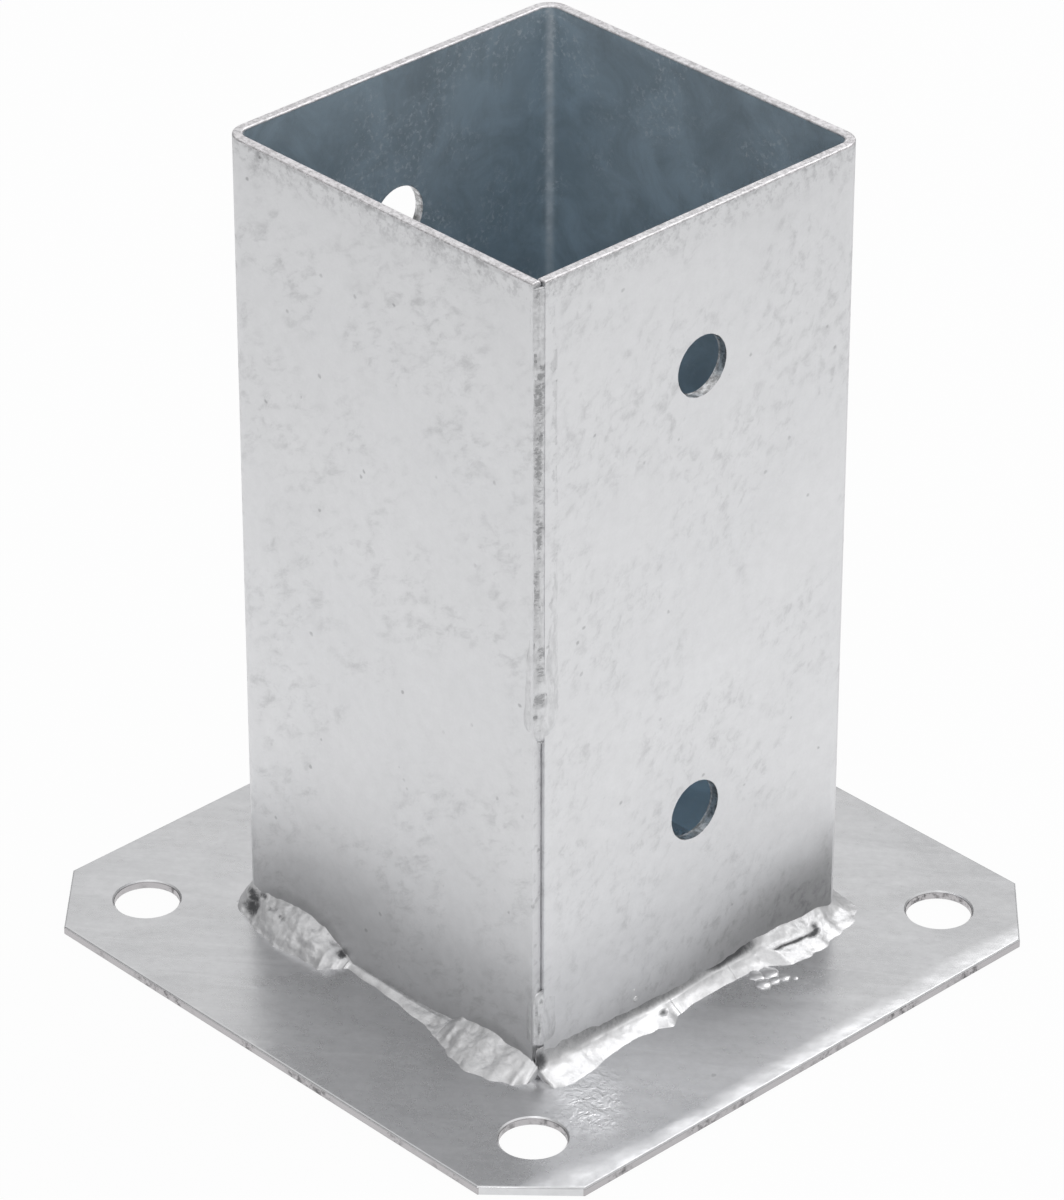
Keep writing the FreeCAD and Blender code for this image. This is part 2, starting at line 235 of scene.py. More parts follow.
def dull_zinc(s):
    """The colour, roughness and height of the walls' outside: clouds, smudges, specks, painted shade at
    their feet and painted light on the right wall.
    """
    clouds = s.noise(24, 3, 0.5, 0.4)
    mottle = s.noise(2.6, 5, 0.68)
    grain = s.noise(0.5, 3)
    patches = s.ramp(s.noise(19, 3, 0.55, 0.8), 0.36, 0.58)
    wisps = s.noise(2.1, 6, 0.68, 0.3, s.stretched((0, -30, 30), (4.2, 1.0, 1.0)))
    smudges = s.product(s.ramp(wisps, 0.46, 0.74), patches)
    ragged = s.weighed(s.cells(4.6), (s.noise(0.8, 2), 0.16))
    specks = s.product(s.ramp(ragged, 0.19, 0.12), s.ramp(s.noise(9, 2), 0.46, 0.60))

    from_rim = s.less(RIM, s.z)
    grime = s.product(s.ramp(from_rim, 8.0, 0.8), s.ramp(s.noise(1.3, 4, 0.7), 0.44, 0.66))
    under_rim = s.product(s.ramp(from_rim, 1.3, 0.7), s.ramp(s.noise(3.0, 2), 0.35, 0.6))
    from_bend = s.size_of(s.less(s.size_of(s.y), WALL - 1.2))
    at_bend = s.product(s.ramp(from_bend, 1.3, 0.3), s.ramp(s.noise(1.8, 3, 0.6), 0.54, 0.68))

    on_right = s.above(s.x, WALL - 0.3)
    along = s.ramp(s.y, -36, 30)
    # Painted shade on the right wall, darkest just above the foot's bead and fading upwards.
    over_weld = s.less(s.weighed(s.z, (clouds, 4.0)), s.product(along, 10.0))
    shade_over_weld = s.product(s.ramp(over_weld, 15.0, 1.5), s.weighed(0.35, (along, 0.75)), on_right)
    on_front = s.under(s.y, 0.3 - WALL)
    # Painted shade on the front wall: darker towards its foot, and darker still in patches round the
    # stitches.
    front_foot_shade = s.product(s.ramp(s.weighed(s.z, (clouds, 6.0)), 30.0, 12.0), 0.5)
    for middle, long, tall in SHADE_PATCHES:
        off = s.distance(s.product(s.sum(s.x, -middle), 1.0 / long), s.product(s.z, 1.0 / tall))
        front_foot_shade = s.larger(front_foot_shade, s.ramp(off, 1.05, 0.65))
    shaded = s.product(front_foot_shade, on_front)

    dark = s.sum(s.product(smudges, 0.16), s.product(specks, 0.26), s.product(grime, 0.20),
                 s.product(shade_over_weld, 0.42), s.product(shaded, 0.34),
                 s.product(under_rim, 0.12), s.product(at_bend, 0.16))
    # Painted light: the right wall is made lighter than the front one, and lighter still low down
    # towards its front.
    low_front_light = s.product(s.ramp(s.y, 12.0, -18.0), s.ramp(s.z, 42.0, 28.0), 0.065)
    light = s.weighed(0.835, (clouds, 0.15), (mottle, 0.20), (grain, 0.05),
                      (on_right, s.sum(low_front_light, 0.045)))
    colour = s.scaled(s.mix(s.noise(34, 2), ZINC, DULL_ZINC), s.less(light, dark))

    on_rim = s.under(from_rim, 0.35)
    sawn = s.noise(0.8, 5, 0.75)
    rim_colour = s.scaled(s.mix(s.noise(5), BRIGHT_ZINC, RIM_ZINC), s.ramp(sawn, 0.38, 0.60, 0.80, 1.15))
    colour = s.mix(on_rim, colour, rim_colour)
    roughness = s.weighed(0.33, (clouds, 0.08), (mottle, 0.12), (dark, 0.4))
    height = s.sum(s.product(s.noise(5.0, 3, 0.5), 0.8), s.product(mottle, 0.55),
                   s.product(grain, 0.12), s.product(smudges, -0.20), s.product(on_rim, sawn, 2.4))
    return colour, roughness, height


def sleeve_zinc():
    """Dull zinc outside and a bright rim, with slate, lightly flecked zinc inside, painted darker and
    bluer as shade.
    """
    s = Shader("galvanised_sleeve")
    outside, roughness, height = dull_zinc(s)
    mottle = s.noise(2.2, 5, 0.65)
    far = [s.size_of(s.x), s.size_of(s.y)]
    is_inside = s.under(s.larger(*far), WALL - 0.75 * SHEET)
    is_inside = s.product(is_inside, s.under(s.z, RIM - 0.4))
    near_corner = s.above(s.math("MINIMUM", *far), 30.0)
    in_bend = s.product(s.ramp(s.size_of(s.less(*far)), 1.5, 0.2), near_corner)
    stains = s.ramp(s.noise(12, 5, 0.65, 0.8), 0.30, 0.72, 0.86, 1.12)
    clusters = s.ramp(s.noise(13, 2), 0.42, 0.64)
    flecks = s.product(s.ramp(s.noise(1.1, 5, 0.75, 0.4), 0.50, 0.66), clusters)
    # Painted shade inside: darker, bluish zinc with random stains, made lighter towards the bottom.
    lower = s.ramp(s.z, 20.0, 110.0, 0.50, 0.03)
    inside = s.scaled(s.mix(s.noise(30), SHADED_INSIDE_ZINC, PALE_SHADED_INSIDE), s.sum(stains, lower))
    paler = s.sum(s.product(flecks, 0.85), s.product(in_bend, s.ramp(mottle, 0.3, 0.7, 0.45, 1.0)))
    colour = s.mix(is_inside, outside, s.mix(paler, inside, FLECK_ZINC))

    through = s.above(far[0], WALL - SHEET - 0.02)
    torn = s.scaled(ZINC, s.ramp(s.noise(1.2, 4, 0.7), 0.35, 0.65, 0.45, 1.15))
    for height_of_hole in SIDE_HOLE_HEIGHTS:
        off = s.distance(s.y, s.less(s.z, height_of_hole))
        bore = s.product(s.under(off, SIDE_HOLE + 0.06), through)
        colour = s.mix(bore, colour, torn)
    return s.finish(colour, s.weighed(roughness, (is_inside, 0.28)), height, SLEEVE_DEPTH)


def seam_zinc():
    """The walls' zinc, a little darker, with soot where the mesh marks it."""
    s = Shader("seam_zinc")
    zinc, roughness, height = dull_zinc(s)
    crevice = s.mark("crevice")
    ripples = s.noise(0.9, 4, 0.7, 0.6, s.stretched(scale=(1.5, 1.5, 0.8)))
    soot_and_shade = s.ramp(s.sum(crevice, s.product(s.less(ripples, 0.5), 2.6)), 0.50, 1.0)
    runs = s.noise(1.3, 4, 0.65, 0.5, s.stretched(scale=(0.8, 0.8, 2.4)))
    streaks = s.ramp(runs, 0.35, 0.65, 0.84, 1.0)
    dulled = s.product(streaks, s.ramp(crevice, 0.0, 0.5, 1.0, 0.93))
    colour = s.mix(s.product(soot_and_shade, 0.32), s.scaled(zinc, dulled), OXIDE)
    height = s.weighed(height, (ripples, 0.9), (soot_and_shade, -1.2))
    return s.finish(colour, s.weighed(roughness, (soot_and_shade, 0.2)), height, SEAM_DEPTH)


def plate_edges(s):
    """One on the plate's four long cut edges and in its holes, below the top's rounded rim. The
    clipped corners' short faces keep the zinc of the top."""
    side = s.larger(s.size_of(s.x), s.size_of(s.y))
    bore = s.distance(s.less(s.size_of(s.x), ANCHOR_PLACE), s.less(s.size_of(s.y), ANCHOR_PLACE))
    cut_away = s.larger(s.above(side, PLATE_EDGE - 0.2), s.under(bore, ANCHOR_HOLE + 0.15))
    return s.product(cut_away, s.under(s.z, PLATE_TOP - 0.25))


def plate_zinc():
    """Streaky zinc, wrinkled beside the seam corner's weld, with grey cut edges and hole walls.
    Along the right edge the bump bends the surface down into a lip that catches the light."""
    s = Shader("galvanised_plate")
    clouds = s.noise(17, 4, 0.55, 1.0)
    streaks = s.noise(4.2, 3, 0.55, 0.8, s.stretched((0, 0, 38), (4.0, 0.8, 1.0)))
    mottle = s.noise(1.5, 4, 0.65)
    grain = s.noise(0.4, 2)
    ragged = s.weighed(s.cells(6.0), (s.noise(0.9, 2), 0.16))
    pits = s.product(s.ramp(ragged, 0.18, 0.11), s.ramp(s.noise(14, 2), 0.44, 0.58))
    light = s.weighed(0.64, (clouds, 0.24), (streaks, 0.22), (mottle, 0.20), (grain, 0.03))
    tone = s.less(light, s.product(pits, 0.24))

    outward = s.product(s.less(s.sum(s.x, -PUDDLE_X), s.sum(s.y, -PUDDLE_Y)), 0.4)
    sideways = s.product(s.sum(s.x, s.y, -PUDDLE_X - PUDDLE_Y), 0.7)
    off = s.distance(outward, sideways)
    puddle = s.ramp(s.weighed(off, (s.noise(4, 3), 5.0)), 9.5, 4.5)
    tone = s.sum(tone, s.product(puddle, mottle, 0.48))
    from_dim = s.distance(s.less(s.x, DIM_X), s.product(s.less(s.y, DIM_Y), 0.6))
    from_pale = s.distance(s.less(s.x, PALE_X), s.less(s.y, PALE_Y))
    tone = s.sum(tone, s.ramp(from_dim, 13.0, 4.0, 0.0, -0.09),
                 s.ramp(from_pale, 13.0, 4.0, 0.0, 0.09))
    top = s.scaled(s.mix(s.noise(24), ZINC, DULL_ZINC), tone)

    # The cut edges and hole walls darken in flecks and towards their bottom and their top.
    flecks = s.product(s.ramp(s.noise(1.3, 4, 0.7), 0.43, 0.63), s.ramp(s.noise(9, 2), 0.4, 0.6))
    at_bottom = s.ramp(s.z, 0.45, 0.05, 0.0, 0.6)
    at_top = s.ramp(s.z, PLATE_TOP - 0.5, PLATE_TOP - 0.25, 0.0, 0.45)
    edge_darkening = s.larger(s.larger(flecks, at_bottom), at_top)
    colour = s.mix(plate_edges(s), top, s.mix(edge_darkening, CUT_ZINC, CUT_DARK))

    lip_start = s.sum(PLATE_EDGE - LIP_WIDTH, s.product(s.noise(11, 3, 0.5), 3.6),
                      s.ramp(s.y, -28, -60, 0.0, -4.0))
    lip = s.larger(s.less(s.x, lip_start), 0.0)
    easing = s.product(s.math("LOGARITHM", s.weighed(1.0, (lip, 0.4)), math.e), 2.5)
    turned_down = s.product(s.less(lip, easing), -LIP_SLOPE / PLATE_DEPTH)
    wrinkles = s.noise(2.2, 3, 0.5, 1.4)
    roughness = s.weighed(0.19, (clouds, 0.10), (mottle, 0.08), (pits, 0.2))
    roughness = s.sum(roughness, s.ramp(lip, 0.0, 3.0, 0.0, 0.09))
    height = s.sum(s.product(s.noise(5.5, 3, 0.5, 0.4), 0.9), s.product(streaks, 0.55),
                   s.product(mottle, 0.16), turned_down, s.product(puddle, wrinkles, 8.0))
    return s.finish(colour, roughness, height, PLATE_DEPTH)


def weld_zinc():
    """Shiny, uneven zinc over a bead, darkened with soot and painted shade and coarse where the mesh
    marks it so.
    """
    s = Shader("weld_zinc")
    crevice = s.mark("crevice")
    grit = s.mark("grit")
    clouds = s.noise(2.6, 4, 0.6, 0.8)
    mottle = s.noise(0.9, 4, 0.65, 0.5)
    grain = s.noise(0.35, 2)
    broken = s.weighed(0.3, (grit, 1.8))
    soot_and_shade = s.ramp(s.sum(crevice, s.product(s.less(mottle, 0.5), broken)), 0.12, 0.95)
    tone = s.weighed(0.62, (clouds, 0.28), (mottle, 0.30), (grain, 0.10))
    bright = s.scaled(s.mix(s.noise(6), ZINC, BRIGHT_ZINC), tone)
    colour = s.mix(s.product(soot_and_shade, 0.88), bright, OXIDE)
    roughness = s.weighed(0.22, (clouds, 0.14), (mottle, 0.08), (soot_and_shade, 0.35), (grit, 0.38))
    coarse = s.sum(s.product(clouds, 1.6), s.product(mottle, 2.6), s.product(grain, 0.5))
    height = s.weighed(s.product(coarse, grit), (soot_and_shade, -0.4))
    return s.finish(colour, roughness, height, WELD_DEPTH)


# ---- meshes ----


def smooth_between(knots, at):
    """Values between knots of (place, value, value...), eased from one knot to the next."""
    if at <= knots[0][0]:
        return knots[0][1:]
    for before, after in zip(knots, knots[1:]):
        if at <= after[0]:
            share = (at - before[0]) / (after[0] - before[0])
            ease = share * share * (3 - 2 * share)
            return tuple(a + (b - a) * ease for a, b in zip(before[1:], after[1:]))
    return knots[-1][1:]


def lumps(point, size):
    """Noise from about -1 to 1 at a point in millimetres, with features of that size."""
    return noise.fractal(Vector(point) / size, 0.9, 2.1, 3)


def make_piece(name, points, faces, marks):
    """A smooth piece of weld zinc on the body, from points in millimetres, faces, and lists of one
    number for each point by the name under which the material reads them."""
    mesh = bpy.data.meshes.new(name)
    mesh.from_pydata([Vector(point) * MM for point in points], [], faces)
    mesh.update()
    for mark, amounts in marks.items():
        mesh.attributes.new(mark, "FLOAT", "POINT").data.foreach_set("value", amounts)
    mesh.shade_smooth()
    piece = bpy.data.objects.new(name, mesh)
    bpy.context.scene.collection.objects.link(piece)
    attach(piece, "root")
    return piece


def grid_piece(name, rows, marks, grit=None):
    """A closed skin over rows of points in millimetres: rows join round, and both ends are capped.
    Marks are how dark each point is painted with soot and shade, row by row, and grit is how coarse each
    row is."""
    across = len(rows[0])
    points = [point for row in rows for point in row]
    faces = []
    for start in range(0, (len(rows) - 1) * across, across):
        for step in range(across):
            following = (step + 1) % across
            faces.append((start + step, start + following,
                          start + across + following, start + across + step))
    faces.append(tuple(reversed(range(across))))
    faces.append(tuple(range(len(points) - across, len(points))))
    amounts = {"crevice": [mark for row in marks for mark in row]}
    if grit:
        amounts["grit"] = [amount for amount in grit for _ in range(across)]
    return make_piece(name, points, faces, amounts)


# The sleeve's foot, walked from the seam corner along the front wall, round the three bends
# and back along the right wall. Places along it are in millimetres from the seam corner.

END_WALL = 2 * WALL - BEND
MID_WALL = 2 * WALL - 2 * BEND
TURN = BEND * math.pi / 2
FOOT_STRETCHES = [
    # length, where it starts, which way it runs, in degrees; a bend turns by 90 more
    (END_WALL, (WALL, -WALL), 180),
    (TURN, None, 180),
    (MID_WALL, (-WALL, BEND - WALL), 90),
    (TURN, None, 90),
    (MID_WALL, (BEND - WALL, WALL), 0),
    (TURN, None, 0),
    (END_WALL, (WALL, WALL - BEND), -90),
]
BACK_LEFT = END_WALL + TURN + MID_WALL
FOOT_LENGTH = 2 * END_WALL + 3 * TURN + 2 * MID_WALL


def foot_place(along):
    """The point on the sleeve's foot at that distance from the seam corner, and the way out."""
    for length, start, heading in FOOT_STRETCHES:
        if along <= length or heading == -90:
            break
        along -= length
    run = math.radians(heading)
    if start is None:
        turned = run - along / BEND
        centre = (WALL - BEND) * math.sqrt(2)
        middle = run + math.pi / 4
        out = (math.cos(turned + math.pi / 2), math.sin(turned + math.pi / 2))
        hub = (centre * math.cos(middle), centre * math.sin(middle))
        return (hub[0] + BEND * out[0], hub[1] + BEND * out[1]), out
    out = (math.cos(run + math.pi / 2), math.sin(run + math.pi / 2))
    return (start[0] + along * math.cos(run), start[1] + along * math.sin(run)), out


# A bead has this many steps across. Its skirts are buried this far in the plate and the walls,
# so that no edge of a bead shows.
ACROSS = 44
SKIRT = 0.35
WALL_SKIRT = 0.12
PLATE_SKIRT = 0.6


def soot_and_shade_at(along, share, dark_spots):
    """How dark a place on a bead is painted with soot and shade, from 0 to 1. Dark spots is a list
    of spots as (along, share across, half length, half share, strength)."""
    total = 0.0
    for place, spot, long, wide, strength in dark_spots:
        off = math.hypot((along - place) / long, (share - spot) / wide)
        total += strength * max(0.0, 1 - off * off)
    return min(1.0, total)


def foot_bead(name, start, end, replaced=None, step=0.2):
    """The stretch of the foot's bead from one place to another, with the profile of FOOT_PROFILE
    and the soot and painted shade of the spot table after it, so that neighbouring stretches meet
    without a step."""
    count = math.ceil((end - start) / step)
    rows, marks, grit = [], [], []
    for index in range(count + 1):
        along = start + (end - start) * index / count
        rise, reach, lean, hollow, rough = smooth_between(FOOT_PROFILE, along)
        rise *= 1 + 0.08 * noise.noise((along / 5.0, 0, 0))
        reach *= 1 + 0.10 * noise.noise((along / 4.0, 9, 0))
        pull = 1 + 5 * max(0.0, 0.35 - lean)
        (px, py), (ox, oy) = foot_place(along)
        strength = min(1.0, max(rise, reach) / 3.0)
        row, mark = [], []
        for step_across in range(ACROSS + 1):
            share = step_across / ACROSS
            keep = 1 - share
            whole = keep * keep + 2 * pull * share * keep + share * share
            out = reach * (2 * pull * share * keep * lean + share * share) / whole
            up = rise * (2 * pull * share * keep * hollow + keep * keep) / whole
            run_out = reach * (keep * lean + share * (1 - lean))
            run_down = rise * (keep * (1 - hollow) + share * hollow)
            length = math.hypot(run_out, run_down)
            there = Vector((px + ox * out, py + oy * out, PLATE_TOP + up))
            soot_and_shade = soot_and_shade_at(along, share, FOOT_SOOT_AND_SHADE)
            swell = noise.noise(there / 3.4) + 0.45 * noise.noise(there / 1.4)
            swell += 0.12 * noise.noise(there / 0.7)
            free = 0.6 + 0.4 * math.sin(math.pi * share) ** 0.5
            proud = strength * (free * rough * swell - 0.25 * soot_and_shade)
            out += proud * run_down / length
            up += proud * run_out / length
            row.append((px + ox * out, py + oy * out, PLATE_TOP + up))
            mark.append(soot_and_shade)
        wall_skirt = (px - ox * WALL_SKIRT, py - oy * WALL_SKIRT, row[0][2] + SKIRT)
        plate_skirt = (row[-1][0] + ox * PLATE_SKIRT, row[-1][1] + oy * PLATE_SKIRT, PLATE_TOP - SKIRT)
        inner = (px - ox * SKIRT, py - oy * SKIRT, PLATE_TOP - SKIRT)
        rows.append([wall_skirt, *row, plate_skirt, inner])
        marks.append([mark[0], *mark, mark[-1], 0.0])
        grit.append(rough)
    piece = grid_piece(name, rows, marks, grit)
    if replaced:
        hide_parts(replaced)
    return piece


SEAM_CORE = 0.9
SEAM_BULGE = 0.72


def seam_bead(name, replaced, bottom, top, knots, dark_spots, step=0.18, tip=4.5, round_top=False):
    """A bead in the notch of the seam. Knots are (height, leg on the front wall, leg on the right
    wall, how proud), with both legs from where the walls' faces meet. The bottom end is rounded
    over the tip's length, and so is the top if asked."""
    rows, marks = [], []
    count = math.ceil((top - bottom) / step)
    notch = (FRONT_END, -RIGHT_END)
    for index in range(count + 1):
        height = bottom + (top - bottom) * index / count
        front_leg, right_leg, proud = smooth_between(knots, height)
        front_leg *= 1 + 0.14 * lumps((0, 0, height), 4.0)
        right_leg *= 1 + 0.08 * lumps((60, 0, height), 5.0)
        from_end = height - bottom
        if round_top:
            from_end = min(from_end, top - height)
        round_end = math.sqrt(max(0.0, 1 - (1 - min(1.0, from_end / tip)) ** 2))
        shrink = 0.04 + 0.96 * round_end
        row, mark = [], []
        for step_across in range(ACROSS + 1):
            share = step_across / ACROSS
            angle = share * math.pi / 2
            x = WALL - front_leg + front_leg * math.sin(angle) ** SEAM_BULGE
            y = -WALL + right_leg - right_leg * math.cos(angle) ** SEAM_BULGE
            soot_and_shade = soot_and_shade_at(height, share, dark_spots)
            lift = proud * math.sin(2 * angle) ** max(0.5, 1.3 - 3 * proud) - 0.15 * soot_and_shade
            uneven = 0.09 * lumps((x, y, height), 2.6) + 0.03 * lumps((x, y, height), 0.6)
            lift += uneven * math.sin(math.pi * share)
            spot_x = notch[0] + (x + lift * math.sin(angle) - notch[0]) * shrink
            spot_y = notch[1] + (y - lift * math.cos(angle) - notch[1]) * shrink
            row.append((spot_x, spot_y, height))
            mark.append(soot_and_shade)
        front_skirt = (row[0][0] - shrink, -WALL + WALL_SKIRT, height)
        right_skirt = (WALL - WALL_SKIRT, row[-1][1] + shrink, height)
        core = (WALL - SEAM_CORE, -WALL + SEAM_CORE, height)
        rows.append([front_skirt, *row, right_skirt, core])
        marks.append([mark[0], *mark, mark[-1], 0.0])
    piece = grid_piece(name, rows, marks)
    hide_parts(replaced)
    return piece


FILL_STEPS = 120
FILL_DEEP = 0.12
FILL_THICK = 0.5


def seam_fill(name, bottom, top):
    """Zinc that bridges the open joint behind the notch, between the two seam welds."""
    rows, marks = [], []
    near = -RIGHT_END - 0.30
    far = -RIGHT_END + 0.15
    for index in range(FILL_STEPS + 1):
        height = bottom + (top - bottom) * index / FILL_STEPS
        face = FRONT_END - FILL_DEEP + 0.06 * lumps((0, 0, height), 3.0)
        rows.append([(face - FILL_THICK, near, height), (face, near, height),
                     (face, far, height), (face - FILL_THICK, far, height)])
        marks.append([0.30 + 0.30 * lumps((20, 0, height), 4.0)] * 4)
    return grid_piece(name, rows, marks)


DROP_RINGS = 7
DROP_SIDES = 20
DROP_SUNK = 0.05


def droplets(name, spots, faces_up=True):
    """Small round splashes of zinc, on the plate or else on the right wall. Spots are (x, y, z,
    radius, height)."""
    points, faces = [], []
    for x, y, z, radius, height in spots:
        base = len(points)
        for ring in range(DROP_RINGS + 1):
            angle = ring / DROP_RINGS * math.pi / 2
            up = height * math.sin(angle) - DROP_SUNK
            for turn in range(DROP_SIDES):
                way = 2 * math.pi * turn / DROP_SIDES
                wobble = 1 + 0.22 * lumps((x + math.cos(way), y + math.sin(way), z + ring * 0.2), 1.1)
                spread = radius * math.cos(angle) * wobble
                across, ahead = spread * math.cos(way), spread * math.sin(way)
                if faces_up:
                    points.append((x + across, y + ahead, z + up))
                else:
                    points.append((x + up, y + across, z + ahead))
        for ring in range(DROP_RINGS):
            for turn in range(DROP_SIDES):
                a = base + ring * DROP_SIDES + turn
                b = base + ring * DROP_SIDES + (turn + 1) % DROP_SIDES
                faces.append((a, b, b + DROP_SIDES, a + DROP_SIDES))
        last = base + DROP_RINGS * DROP_SIDES
        faces.append(tuple(range(base + DROP_SIDES - 1, base - 1, -1)))
        faces.append(tuple(range(last, last + DROP_SIDES)))
    return make_piece(name, points, faces, {"crevice": [0.0] * len(points)})


def front(x):
    """Distance along the foot of a place on the front wall."""
    return WALL - x


def right(y):
    """Distance along the foot of a place on the right wall."""
    return FOOT_LENGTH - (y + WALL)


def left(y):
    """Distance along the foot of a place on the left wall."""
    return END_WALL + TURN + y + WALL - BEND


def back(x):
    """Distance along the foot of a place on the back wall."""
    return BACK_LEFT + TURN + x + WALL - BEND


# The bead's section at places along the foot: (along, rise, reach, lean, hollow, roughness). Its
# curve pulls towards a point that is lean of the reach out and hollow of the rise up, so that
# 0.5 and 0.5 is straight, more is full and less is hollow. The stitches are the tall stretches.

FOOT_PROFILE = [
    (front(37.4), 2.2, 2.4, 0.58, 0.58, 0.20), (front(35.4), 3.2, 4.6, 0.56, 0.56, 0.30),
    (front(31.5), 3.6, 6.0, 0.50, 0.50, 0.40), (front(27.0), 4.3, 6.9, 0.52, 0.50, 0.45),
    (front(23.0), 4.0, 6.6, 0.54, 0.52, 0.45), (front(19.5), 3.3, 5.2, 0.50, 0.48, 0.40),
    (front(16.0), 1.7, 3.8, 0.50, 0.50, 0.35), (front(11.0), 1.2, 2.9, 0.54, 0.54, 0.25),
    (front(4.0), 1.0, 1.9, 0.60, 0.60, 0.20), (front(-3.0), 0.9, 1.4, 0.62, 0.62, 0.20),
    (front(-8.6), 0.8, 1.1, 0.60, 0.60, 0.20), (front(-10.3), 1.9, 3.0, 0.62, 0.62, 0.35),
    (front(-12.4), 3.4, 5.0, 0.68, 0.66, 0.45), (front(-16.0), 4.8, 5.1, 0.68, 0.66, 0.50),
    (front(-20.0), 5.3, 5.2, 0.62, 0.62, 0.60), (front(-23.0), 5.4, 5.6, 0.62, 0.62, 0.65),
    (front(-27.0), 5.0, 5.2, 0.58, 0.60, 0.70), (front(-30.0), 4.6, 4.3, 0.56, 0.56, 0.65),
    (front(-32.5), 4.6, 3.2, 0.52, 0.52, 0.50), (left(-33.5), 4.0, 2.2, 0.50, 0.50, 0.30),
    (left(-27.0), 3.4, 3.6, 0.48, 0.48, 0.30), (left(-20.0), 4.0, 4.8, 0.60, 0.58, 0.35),
    (left(-14.5), 3.0, 4.2, 0.56, 0.54, 0.30), (left(-11.0), 0.8, 1.5, 0.40, 0.40, 0.10),
    (left(0.0), 0.7, 1.2, 0.38, 0.38, 0.08), (left(9.0), 0.8, 1.4, 0.40, 0.40, 0.10),
    (left(12.5), 3.0, 4.2, 0.56, 0.54, 0.30), (left(19.0), 4.2, 5.2, 0.60, 0.58, 0.40),
    (left(27.0), 3.8, 4.8, 0.50, 0.50, 0.35), (left(33.0), 3.6, 4.2, 0.48, 0.48, 0.30),
    (back(-33.0), 3.8, 4.4, 0.48, 0.48, 0.30), (back(-26.0), 4.3, 5.2, 0.58, 0.56, 0.40),
    (back(-18.0), 3.6, 4.8, 0.52, 0.52, 0.40), (back(-12.5), 3.0, 4.2, 0.56, 0.54, 0.30),
    (back(-9.0), 0.8, 1.5, 0.40, 0.40, 0.10), (back(0.0), 0.7, 1.2, 0.38, 0.38, 0.08),
    (back(6.0), 0.8, 1.5, 0.40, 0.40, 0.10), (back(9.5), 3.0, 4.2, 0.56, 0.54, 0.30),
    (back(18.0), 4.1, 5.0, 0.60, 0.58, 0.40), (back(27.0), 3.6, 4.6, 0.50, 0.50, 0.35),
    (back(33.0), 1.8, 3.0, 0.38, 0.38, 0.25), (right(34.0), 2.0, 4.8, 0.30, 0.34, 0.25),
    (right(30.5), 3.0, 5.4, 0.38, 0.44, 0.30), (right(25.0), 3.2, 6.8, 0.40, 0.50, 0.35),
    (right(18.5), 3.6, 6.4, 0.38, 0.50, 0.35), (right(14.0), 4.2, 3.7, 0.20, 0.42, 0.20),
    (right(10.0), 4.6, 2.9, 0.13, 0.40, 0.20), (right(5.0), 3.9, 2.7, 0.12, 0.42, 0.14),
    (right(-1.5), 3.3, 2.8, 0.13, 0.46, 0.14), (right(-6.5), 3.3, 3.6, 0.13, 0.44, 0.14),
    (right(-9.8), 3.4, 5.2, 0.09, 0.44, 0.12), (right(-12.5), 3.7, 4.2, 0.12, 0.44, 0.14),
    (right(-17.0), 4.2, 3.5, 0.11, 0.40, 0.14), (right(-22.0), 4.5, 3.8, 0.11, 0.38, 0.16),
    (right(-27.0), 4.8, 4.6, 0.10, 0.38, 0.18), (right(-31.5), 5.0, 5.4, 0.09, 0.36, 0.18),
    (right(-34.5), 5.2, 5.6, 0.09, 0.36, 0.18), (right(-36.8), 5.2, 4.6, 0.12, 0.38, 0.20),
]
# Dark spots on the foot's bead: soot in its pits and slits, and painted shade along the walls.
FOOT_SOOT_AND_SHADE = [
    # along, share across from the wall to the plate, half length, half share, strength
    (front(-32.4), 0.62, 2.4, 0.36, 1.0), (front(-33.6), 0.25, 2.2, 0.22, 0.8),
    (front(-31.2), 0.12, 1.4, 0.12, 0.7), (front(-27.4), 0.30, 1.8, 0.14, 0.45),
    (front(-24.2), 0.38, 1.4, 0.10, 0.5), (front(-10.7), 0.20, 1.0, 0.22, 0.9),
    (right(26.5), 0.56, 2.6, 0.09, 1.0), (right(22.5), 0.52, 3.0, 0.06, 1.0),
    (right(19.0), 0.50, 2.4, 0.05, 0.9), (right(28.0), 0.44, 1.3, 0.14, 0.7),
    (right(9.5), 0.12, 6.5, 0.46, 0.75), (right(-9.0), 0.74, 1.2, 0.09, 0.8),
    # Painted shade and soot: a long dark stretch over the wall side of the right bead.
    (right(-12.0), 0.05, 34.0, 0.50, 0.62),
    # The second spot here is painted shade: a thin dark line where the front run meets the wall.
    (right(-36.6), 0.30, 2.2, 0.34, 0.8), (front(2.0), 0.04, 22.0, 0.16, 0.55),
]


# The seam welds: (height, leg on the front wall, leg on the right wall, how proud), and their soot
# as (height, share across from the front wall, half height, half share, strength).

